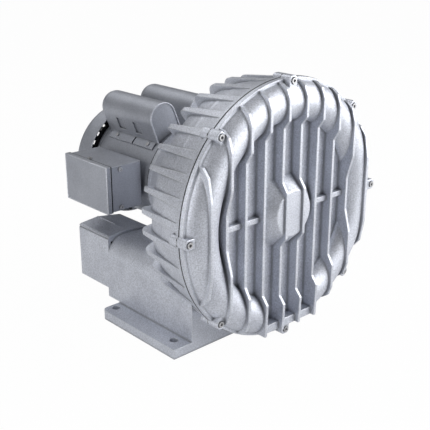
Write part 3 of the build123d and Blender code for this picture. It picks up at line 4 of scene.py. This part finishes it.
import bmesh
import bpy
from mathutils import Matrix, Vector


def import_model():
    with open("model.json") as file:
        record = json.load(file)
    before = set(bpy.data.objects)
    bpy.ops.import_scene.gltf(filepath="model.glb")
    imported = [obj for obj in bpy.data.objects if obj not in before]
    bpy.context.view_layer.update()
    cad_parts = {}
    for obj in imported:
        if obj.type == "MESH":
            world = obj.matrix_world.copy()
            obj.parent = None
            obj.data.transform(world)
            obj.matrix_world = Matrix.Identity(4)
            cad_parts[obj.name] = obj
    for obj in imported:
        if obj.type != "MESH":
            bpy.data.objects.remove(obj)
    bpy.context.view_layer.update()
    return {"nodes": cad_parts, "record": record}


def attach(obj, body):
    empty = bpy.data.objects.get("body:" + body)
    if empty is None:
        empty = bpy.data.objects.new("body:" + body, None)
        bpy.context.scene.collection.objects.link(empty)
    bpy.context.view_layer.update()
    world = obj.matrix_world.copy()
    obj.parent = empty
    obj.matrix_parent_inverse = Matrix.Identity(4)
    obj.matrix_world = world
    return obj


# Looks of the side channel blower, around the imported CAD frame. Metres; the shaft lies along Y at
# SHAFT_HEIGHT, the finned cover faces -Y, the junction box is at -X and +Z is up.

SHAFT_HEIGHT = 0.228

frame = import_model()
nodes = frame["nodes"]


# ---------------------------------------------------------------- material helpers

class Tree:
    """A material's node tree, with short calls to add nodes and link them."""

    def __init__(self, name):
        self.material = bpy.data.materials.new(name)
        self.material.use_nodes = True
        self.nodes = self.material.node_tree.nodes
        self.links = self.material.node_tree.links
        self.shader = self.nodes["Principled BSDF"]
        self.place = self.nodes.new("ShaderNodeTexCoord").outputs["Object"]

    def add(self, kind, **settings):
        node = self.nodes.new(kind)
        for key, value in settings.items():
            setattr(node, key, value)
        return node

    def feed(self, socket, source):
        """Link a socket to another node's output, or set it to a plain value."""
        if isinstance(source, bpy.types.NodeSocket):
            self.links.new(source, socket)
        else:
            socket.default_value = source

    def noise(self, size, detail=3.0, roughness=0.55, stretch=(1, 1, 1)):
        """Noise whose features measure about size metres."""
        mapping = self.add("ShaderNodeMapping")
        self.feed(mapping.inputs["Vector"], self.place)
        mapping.inputs["Scale"].default_value = stretch
        noise = self.add("ShaderNodeTexNoise")
        self.feed(noise.inputs["Vector"], mapping.outputs["Vector"])
        noise.inputs["Scale"].default_value = 1 / size
        noise.inputs["Detail"].default_value = detail
        noise.inputs["Roughness"].default_value = roughness
        return noise.outputs["Fac"]

    def ramp(self, source, low, high, start=0.35, end=0.65):
        """Value or colour that goes from low to high as the source goes from start to end."""
        scaled = self.add("ShaderNodeMapRange", clamp=True)
        self.feed(scaled.inputs["Value"], source)
        scaled.inputs["From Min"].default_value = start
        scaled.inputs["From Max"].default_value = end
        if not isinstance(low, tuple):
            scaled.inputs["To Min"].default_value = low
            scaled.inputs["To Max"].default_value = high
            return scaled.outputs["Result"]
        mix = self.add("ShaderNodeMix", data_type="RGBA")
        self.feed(mix.inputs["Factor"], scaled.outputs["Result"])
        mix.inputs["A"].default_value = (*low, 1)
        mix.inputs["B"].default_value = (*high, 1)
        return mix.outputs["Result"]

    def mix(self, factor, first, second, blend="MIX"):
        """Blend two colours; each may be a socket or a plain colour."""
        mix = self.add("ShaderNodeMix", data_type="RGBA", blend_type=blend)
        self.feed(mix.inputs["Factor"], factor)
        for name, colour in (("A", first), ("B", second)):
            self.feed(mix.inputs[name], (*colour, 1) if isinstance(colour, tuple) else colour)
        return mix.outputs["Result"]

    def bump(self, source, height, normal=None):
        """Normal of a surface raised by the source, up to a height in metres."""
        bump = self.add("ShaderNodeBump")
        bump.inputs["Distance"].default_value = height
        self.feed(bump.inputs["Height"], source)
        if normal is not None:
            self.feed(bump.inputs["Normal"], normal)
        return bump.outputs["Normal"]

    def soft_edges(self, radius):
        """Normal that rounds the edges of a hard solid over a radius in metres."""
        bevel = self.add("ShaderNodeBevel", samples=6)
        bevel.inputs["Radius"].default_value = radius
        return bevel.outputs["Normal"]

    def edge_share(self, radius):
        """1 along outside and inside corners of a solid, 0 on its open faces."""
        # mask for the painted highlight laid along edges
        bevel = self.add("ShaderNodeBevel", samples=6)
        bevel.inputs["Radius"].default_value = radius
        geometry = self.add("ShaderNodeNewGeometry")
        compare = self.add("ShaderNodeVectorMath", operation="DOT_PRODUCT")
        self.feed(compare.inputs[0], bevel.outputs["Normal"])
        self.feed(compare.inputs[1], geometry.outputs["Normal"])
        return self.ramp(compare.outputs["Value"], 1.0, 0.0, 0.80, 0.99)

    def crevice_share(self, reach):
        """1 deep in a solid's inside corners, 0 where nothing stands within reach metres."""
        # ambient occlusion, used to paint shade into the colour of inside corners
        openness = self.add("ShaderNodeAmbientOcclusion", samples=8)
        openness.inputs["Distance"].default_value = reach
        return self.ramp(openness.outputs["AO"], 1.0, 0.0, 0.40, 0.88)

    def finish(self, colour, metallic, roughness, normal=None, **extra):
        """Connect colour, metal, roughness and normal, and set other inputs by name."""
        self.feed(self.shader.inputs["Base Color"], (*colour, 1) if isinstance(colour, tuple) else colour)
        self.shader.inputs["Metallic"].default_value = metallic
        self.feed(self.shader.inputs["Roughness"], roughness)
        if normal is not None:
            self.feed(self.shader.inputs["Normal"], normal)
        for name, value in extra.items():
            self.shader.inputs[name.replace("_", " ")].default_value = value
        return self.material


# ---------------------------------------------------------------- materials

# painted highlight: lighter colour laid along outside and inside edges
EDGE_HIGHLIGHT_COLOUR = (0.72, 0.74, 0.77)
CORNER_SHADE_REACH = 0.007                     # width of the painted shade beside a corner
CORNER_SHADE_FACTOR = 0.46                      # how dark the paint is made in inside corners, as painted shade
PAINT_METAL = 0.72                      # how far the flakes make the paint look like bare metal


def silver_paint(name, colour, grain, grain_height, speckle, edge):
    """Silver-grey metallic paint: speckle, faint clouding, painted highlights along edges, painted shade in
    corners, grain.
    """
    tree = Tree(name)
    dark = tuple(c * (1 - speckle) for c in colour)
    light = tuple(c * (1 + speckle) for c in colour)
    flakes = tree.ramp(tree.noise(0.0022, detail=3, roughness=0.7), dark, light, 0.36, 0.64)
    clouds = tree.ramp(tree.noise(0.05, detail=4), (0.92, 0.92, 0.93), (1.04, 1.04, 1.04))
    paint = tree.mix(1.0, flakes, clouds, "MULTIPLY")
    # painted highlight: the paint is lightened along edges and corners
    lit_edges = tree.mix(tree.edge_share(edge), paint, EDGE_HIGHLIGHT_COLOUR)
    # painted shade: the paint is darkened in inside corners, where shade falls
    corner_shade = tree.mix(tree.crevice_share(CORNER_SHADE_REACH), lit_edges, tuple(c * CORNER_SHADE_FACTOR for c in colour))
    roughness = tree.ramp(tree.noise(0.004), 0.42, 0.55)
    normal = tree.bump(tree.noise(grain, detail=4), grain_height, tree.soft_edges(edge))
    return tree.finish(corner_shade, PAINT_METAL, roughness, normal)


def casting_paint():
    return silver_paint("silver_casting_paint", (0.60, 0.622, 0.682), 0.0034, 0.00030, 0.20, 0.0018)


def sheet_paint():
    return silver_paint("silver_sheet_paint", (0.40, 0.417, 0.462), 0.0060, 0.00008, 0.12, 0.0018)


def machined(name, colour, roughness, edge=0.0003, lines=0.0012):
    """Turned or ground metal with faint tool lines round the shaft's direction."""
    tree = Tree(name)
    streaks = tree.noise(lines, detail=2, stretch=(0.15, 1, 0.15))
    shade = tree.ramp(streaks, tuple(c * 0.9 for c in colour), tuple(min(c * 1.08, 1) for c in colour))
    rough = tree.ramp(streaks, roughness * 0.85, roughness * 1.2)
    return tree.finish(shade, 1.0, rough, tree.bump(streaks, 0.00003, tree.soft_edges(edge)))


def screw_steel():
    tree = Tree("screw_steel")
    shade = tree.ramp(tree.noise(0.0008), (0.40, 0.40, 0.41), (0.56, 0.56, 0.57))
    rough = tree.ramp(tree.noise(0.002), 0.28, 0.46)
    return tree.finish(shade, 0.9, rough, tree.soft_edges(0.0005))


def cast_aluminium():
    tree = Tree("cast_aluminium")
    shade = tree.ramp(tree.noise(0.003), (0.62, 0.63, 0.64), (0.74, 0.75, 0.76))
    rough = tree.ramp(tree.noise(0.0015), 0.34, 0.52)
    normal = tree.bump(tree.noise(0.0012, detail=4), 0.00012, tree.soft_edges(0.0006))
    return tree.finish(shade, 0.95, rough, normal)


def lamination_steel():
    tree = Tree("lamination_steel")
    sheets = tree.noise(0.0009, detail=0, stretch=(0.02, 1, 0.02))
    shade = tree.ramp(sheets, (0.10, 0.10, 0.11), (0.26, 0.26, 0.28))
    return tree.finish(shade, 0.8, tree.ramp(tree.noise(0.002), 0.4, 0.6), tree.bump(sheets, 0.0001))


def winding_enamel():
    tree = Tree("winding_enamel")
    strands = tree.noise(0.0012, detail=1, stretch=(0.3, 0.1, 0.3))
    shade = tree.ramp(strands, (0.22, 0.07, 0.02), (0.52, 0.22, 0.08))
    rough = tree.ramp(strands, 0.25, 0.4)
    return tree.finish(shade, 0.35, rough, tree.bump(strands, 0.0004), Coat_Weight=0.5)


def moulded(name, colour, roughness, grain=0.0008):
    """Moulded plastic or rubber with a fine surface grain."""
    tree = Tree(name)
    shade = tree.ramp(tree.noise(grain * 6), tuple(c * 0.85 for c in colour), tuple(c * 1.15 for c in colour))
    rough = tree.ramp(tree.noise(grain * 3), roughness * 0.85, roughness * 1.15)
    return tree.finish(shade, 0.0, rough, tree.bump(tree.noise(grain), 0.00004, tree.soft_edges(0.0004)))


def gasket_paper():
    tree = Tree("gasket_paper")
    shade = tree.ramp(tree.noise(0.0007, detail=6), (0.008, 0.008, 0.009), (0.02, 0.02, 0.02))
    return tree.finish(shade, 0.0, 0.9, tree.bump(tree.noise(0.0005), 0.00008))


def silencer_foam():
    tree = Tree("silencer_foam")
    cells = tree.add("ShaderNodeTexVoronoi")
    tree.feed(cells.inputs["Vector"], tree.place)
    cells.inputs["Scale"].default_value = 500
    shade = tree.ramp(cells.outputs["Distance"], (0.10, 0.10, 0.11), (0.02, 0.02, 0.02), 0.2, 0.6)
    return tree.finish(shade, 0.0, 0.95, tree.bump(cells.outputs["Distance"], 0.0008))


MATERIALS = {
    "silver_casting_paint": casting_paint(),
    "silver_sheet_paint": sheet_paint(),
    "screw_steel": screw_steel(),
    "cast_aluminium": cast_aluminium(),
    "machined_steel": machined("machined_steel", (0.55, 0.55, 0.57), 0.3),
    "lamination_steel": lamination_steel(),
    "winding_enamel": winding_enamel(),
    "dark_plastic": moulded("dark_plastic", (0.035, 0.035, 0.038), 0.45),
    "capacitor_can": machined("capacitor_can", (0.70, 0.71, 0.72), 0.35),
    "black_rubber": moulded("black_rubber", (0.02, 0.02, 0.02), 0.7),
    "gasket_paper": gasket_paper(),
    "silencer_foam": silencer_foam(),
    "lead_insulation": moulded("lead_insulation", (0.05, 0.05, 0.06), 0.5),
}

for entry in frame["record"]["subparts"]:
    node = nodes[entry["node"]]
    node.data.materials.clear()
    node.data.materials.append(MATERIALS[entry["material_slot"]])


# ---------------------------------------------------------------- shapes that the solids lack

SEAM_Y = -0.154
FLANGE_RADIUS = 0.219
LUGS = 8
LUG_HALF_WIDTH = 0.009
LUG_RADIUS = 0.2235
LUG_CORNER = 0.006
SKIN_HALF_ANGLE = radians(128)          # from the top, where the casing is clear of its chambers
SKIN_STEPS = 192
SEAM_STEPS = 1440
BEAD_FRONT = 0.0016                     # how far the bead reaches ahead of the joint
BEAD_REAR = 0.0004
BEAD_DEPTH = 0.001
BEAD_PROUD = 0.0001


def add_piece(name, data, slot):
    """Object that rides on the housing and takes a slot's finish."""
    data.materials.append(MATERIALS[slot])
    obj = bpy.data.objects.new(name, data)
    bpy.context.scene.collection.objects.link(obj)
    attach(obj, "housing")


def smooth_piece(name, mesh, slot):
    """Smooth-shaded piece from a bmesh."""
    data = bpy.data.meshes.new(name)
    bmesh.ops.recalc_face_normals(mesh, faces=mesh.faces)
    mesh.to_mesh(data)
    mesh.free()
    for face in data.polygons:
        face.use_smooth = True
    add_piece(name, data, slot)


def about_shaft(radius, angle, y):
    """Point at a radius from the shaft and an angle from the top."""
    return Vector((radius * sin(angle), y, SHAFT_HEIGHT + radius * cos(angle)))


def sweep(profile, angles, closed):
    """Mesh of closed (y, radius) outlines swept about the shaft; profile gives one for each angle."""
    mesh = bmesh.new()
    rows = [[mesh.verts.new(about_shaft(radius, angle, y)) for y, radius in profile(angle)]
            for angle in angles]
    pairs = list(zip(rows, rows[1:])) + ([(rows[-1], rows[0])] if closed else [])
    for near, far in pairs:
        for n in range(len(near)):
            m = (n + 1) % len(near)
            mesh.faces.new((near[n], near[m], far[m], far[n]))
    if not closed:
        mesh.faces.new(rows[0])
        mesh.faces.new(rows[-1])
    return mesh


def skin_profile(_):
    """Casing's skin between the ribs, and back along the inside of its wall, all round alike."""
    outside = ((-0.144, 0.2125), (-0.125, 0.2105), (-0.105, 0.2080), (-0.088, 0.2050), (-0.073, 0.2010),
               (-0.061, 0.1955), (-0.052, 0.1880), (-0.045, 0.1780), (-0.040, 0.1660), (-0.037, 0.1540))
    inside = ((-0.037, 0.1510), (-0.079, 0.1740), (-0.090, 0.1960), (-0.109, 0.2060), (-0.144, 0.2060))
    return outside + inside


def seam_radius(angle):
    """Outside of the joint at an angle from the top, round the flange and the screw lugs."""
    pitch = 2 * pi / LUGS
    turn = (angle + pitch / 2) % pitch - pitch / 2
    across = abs(LUG_RADIUS * sin(turn))
    if across < LUG_HALF_WIDTH - LUG_CORNER:
        return LUG_RADIUS / cos(turn)
    if across < LUG_HALF_WIDTH:
        off = across - LUG_HALF_WIDTH + LUG_CORNER
        return LUG_RADIUS - LUG_CORNER + (LUG_CORNER ** 2 - off ** 2) ** 0.5
    return FLANGE_RADIUS


def seam_profile(angle):
    """Section of the sealing bead that shows between the flanges."""
    outside = min(max(seam_radius(angle), FLANGE_RADIUS) + BEAD_PROUD, LUG_RADIUS)
    inside = outside - BEAD_DEPTH
    front, rear = SEAM_Y - BEAD_FRONT, SEAM_Y + BEAD_REAR
    return ((front, outside), (rear, outside), (rear, inside), (front, inside))


skin_angles = [SKIN_HALF_ANGLE * (2 * n / SKIN_STEPS - 1) for n in range(SKIN_STEPS + 1)]
smooth_piece("casing_skin", sweep(skin_profile, skin_angles, False), "silver_casting_paint")
seam_angles = [2 * pi * n / SEAM_STEPS for n in range(SEAM_STEPS)]
smooth_piece("joint_bead", sweep(seam_profile, seam_angles, True), "gasket_paper")

SHELL_FRONT_Y = 0.085                   # front end of the motor shell
SHELL_RADIUS = 0.0895
BAND_FRONT = 0.0030
BAND_REAR = 0.0010
BAND_PROUD = 0.0008
BAND_SUNK = 0.0020
BAND_STEPS = 192
BOX_FACE_X = -0.1720                    # outside of the junction box lid
BOX_GAP_X = -0.1640                     # where the junction box lid's rim ends
BOX_SIDES = (0.0925, 0.2180)            # front and rear walls of the box
BOX_HEIGHTS = (0.1935, 0.2765)
LID_LINE_RADIUS = 0.0013
RIM_RADIUS = 0.0013                     # the lid's bright edge and the ridges
DECK_HEIGHT = 0.142                     # crest along the top of the port blocks
RIDGE_X = 0.113
RIDGE_Y = (0.157, 0.2125)
COVER_FRONT_Y = 0.092                   # capacitor covers, at the top before they are turned
COVER_ARCH_RADIUS = 0.0286
COVER_ARCH_HEIGHT = 0.1244              # above the shaft
COVER_TURN = radians(21.2)
LIP_RADIUS = 0.0014
LIP_STEPS = 32


def tube(name, points, radius, closed, slot):
    """Round bead along a line of points."""
    data = bpy.data.curves.new(name, "CURVE")
    data.dimensions = "3D"
    data.bevel_depth = radius
    data.bevel_resolution = 4
    data.use_fill_caps = True
    spline = data.splines.new("POLY")
    spline.points.add(len(points) - 1)
    for place, point in zip(spline.points, points):
        place.co = (*point, 1)
    spline.use_cyclic_u = closed
    add_piece(name, data, slot)


def cover_lip(name, turn):
    """Rolled rim round the front face of a capacitor cover."""
    radius = COVER_ARCH_RADIUS - LIP_RADIUS
    foot = (SHELL_RADIUS ** 2 - radius ** 2) ** 0.5 + LIP_RADIUS
    outline = [(-radius, foot)]
    for n in range(LIP_STEPS + 1):
        swing = pi * n / LIP_STEPS
        outline.append((-radius * cos(swing), COVER_ARCH_HEIGHT + radius * sin(swing)))
    outline += [(radius, foot)]
    points = []
    for x, up in outline:
        across, height = x * cos(turn) + up * sin(turn), up * cos(turn) - x * sin(turn)
        points.append(Vector((across, COVER_FRONT_Y - LIP_RADIUS / 3, SHAFT_HEIGHT + height)))
    # painted highlight: the lip takes the lighter casting paint so that it reads as a bright ring
    tube(name, points, LIP_RADIUS, False, "silver_casting_paint")


def lid_bead(name, x, radius, slot):
    """Bead round the outline of the junction box lid, at one distance from the motor."""
    near, far = BOX_SIDES
    low, high = BOX_HEIGHTS
    corners = ((near, low), (near, high), (far, high), (far, low))
    tube(name, [Vector((x, y, z)) for y, z in corners], radius, True, slot)


def deck_ridge(name, x):
    """Cast ridge along the top of a port block."""
    points = [Vector((x, y, DECK_HEIGHT)) for y in RIDGE_Y]
    tube(name, points, RIM_RADIUS, False, "silver_casting_paint")


def band_profile(_):
    """Section of the dark band where the motor shell meets its front end shield, all round alike."""
    front, rear = SHELL_FRONT_Y - BAND_FRONT, SHELL_FRONT_Y + BAND_REAR
    outside, inside = SHELL_RADIUS + BAND_PROUD, SHELL_RADIUS - BAND_SUNK
    return ((front, inside), (front, outside), (rear, outside), (rear, inside))


cover_lip("left_cover_lip", -COVER_TURN)
cover_lip("right_cover_lip", COVER_TURN)
# dark bead along the lid's edge, drawn as the dark line between lid and box
lid_bead("lid_dark_line", BOX_GAP_X + 1.5 * LID_LINE_RADIUS, LID_LINE_RADIUS, "black_rubber")
# painted highlight: the rim bead takes the lighter casting paint so that the lid's edge reads bright
lid_bead("lid_rim", BOX_FACE_X + RIM_RADIUS / 2, RIM_RADIUS, "silver_casting_paint")
deck_ridge("left_deck_ridge", -RIDGE_X)
deck_ridge("right_deck_ridge", RIDGE_X)
band_angles = [2 * pi * n / BAND_STEPS for n in range(BAND_STEPS)]
smooth_piece("shell_front_band", sweep(band_profile, band_angles, True), "black_rubber")


# ---------------------------------------------------------------- camera

CAMERA_PLACE = Vector((-0.939, -1.021, 0.688))
CAMERA_AZIMUTH = radians(-42.46)        # 0 looks along +Y, and a left turn is positive
CAMERA_ELEVATION = radians(20.31)
LENS = 68.7                             # millimetres, on Blender's 36 mm sensor


def camera():
    """Camera at the photograph's angle and distance."""
    level = cos(CAMERA_ELEVATION)
    view = Vector((-sin(CAMERA_AZIMUTH) * level, cos(CAMERA_AZIMUTH) * level, -sin(CAMERA_ELEVATION)))
    data = bpy.data.cameras.new("camera")
    data.lens = LENS
    data.clip_start = 0.05
    data.clip_end = 50
    obj = bpy.data.objects.new("camera", data)
    obj.location = CAMERA_PLACE
    obj.rotation_euler = view.to_track_quat("-Z", "Y").to_euler()
    bpy.context.scene.collection.objects.link(obj)
    bpy.context.scene.camera = obj


camera()


# ---------------------------------------------------------------- stage and light

FLOOR_RADIUS = 14.0
FLOOR_WHITE = 0.98                      # how much of the floor's look is plain white
FLOOR_WHITE_IN_GLOSS = 0.35             # the same in reflections
TARGET = Vector((0, 0, 0.22))
HORIZON_LIGHT = 0.05                    # strength of the surroundings as a light
ZENITH_LIGHT = 0.30


def softbox(name, direction, distance, width, height, power):
    """Soft rectangular lamp that shines at the object from a direction."""
    data = bpy.data.lights.new(name, "AREA")
    data.shape = "RECTANGLE"
    data.size = width
    data.size_y = height
    data.energy = power
    obj = bpy.data.objects.new(name, data)
    obj.location = TARGET + Vector(direction).normalized() * distance
    obj.rotation_euler = (TARGET - obj.location).to_track_quat("-Z", "Y").to_euler()
    bpy.context.scene.collection.objects.link(obj)


def floor():
    """Pale floor: white to the camera and to gloss, with the object's soft shadow on it."""
    bpy.ops.mesh.primitive_circle_add(vertices=96, radius=FLOOR_RADIUS, fill_type="NGON")
    obj = bpy.context.object
    obj.name = "floor"
    tree = Tree("floor_white")
    tree.finish((0.70, 0.70, 0.70), 0.0, 0.9)
    tree.shader.inputs["Specular IOR Level"].default_value = 0.0
    rays = tree.add("ShaderNodeLightPath").outputs
    in_gloss = tree.ramp(rays["Is Glossy Ray"], 0.0, FLOOR_WHITE_IN_GLOSS, 0, 1)
    share = tree.add("ShaderNodeMath", operation="MAXIMUM")
    tree.feed(share.inputs[0], tree.ramp(rays["Is Camera Ray"], 0.0, FLOOR_WHITE, 0, 1))
    tree.feed(share.inputs[1], in_gloss)
    white = tree.add("ShaderNodeEmission")
    blend = tree.add("ShaderNodeMixShader")
    tree.feed(blend.inputs["Fac"], share.outputs[0])
    tree.feed(blend.inputs[1], tree.shader.outputs[0])
    tree.feed(blend.inputs[2], white.outputs[0])
    tree.feed(tree.nodes["Material Output"].inputs["Surface"], blend.outputs[0])
    obj.data.materials.append(tree.material)


def world():
    """White to the camera; as a light, bright overhead and dim at the horizon."""
    surroundings = bpy.data.worlds.new("studio")
    bpy.context.scene.world = surroundings
    surroundings.use_nodes = True
    links = surroundings.node_tree.links
    tree_nodes = surroundings.node_tree.nodes
    background = tree_nodes["Background"]
    background.inputs["Color"].default_value = (1, 1, 1, 1)
    direction = tree_nodes.new("ShaderNodeSeparateXYZ")
    links.new(tree_nodes.new("ShaderNodeTexCoord").outputs["Generated"], direction.inputs["Vector"])
    light = tree_nodes.new("ShaderNodeMapRange")
    links.new(direction.outputs["Z"], light.inputs["Value"])
    light.inputs["To Min"].default_value = HORIZON_LIGHT
    light.inputs["To Max"].default_value = ZENITH_LIGHT
    strength = tree_nodes.new("ShaderNodeMix")
    links.new(tree_nodes.new("ShaderNodeLightPath").outputs["Is Camera Ray"], strength.inputs["Factor"])
    links.new(light.outputs["Result"], strength.inputs["A"])
    strength.inputs["B"].default_value = 1.0
    links.new(strength.outputs["Result"], background.inputs["Strength"])


floor()
world()
softbox("key", (1.3, -1.4, 0.75), 2.6, 3.0, 2.4, 90)
softbox("left_fill", (-1.6, 0.1, 0.42), 2.2, 1.2, 1.4, 21)
softbox("top", (-0.1, 0.55, 1.0), 2.0, 1.6, 1.4, 12)

bpy.context.scene.view_settings.view_transform = "Standard"
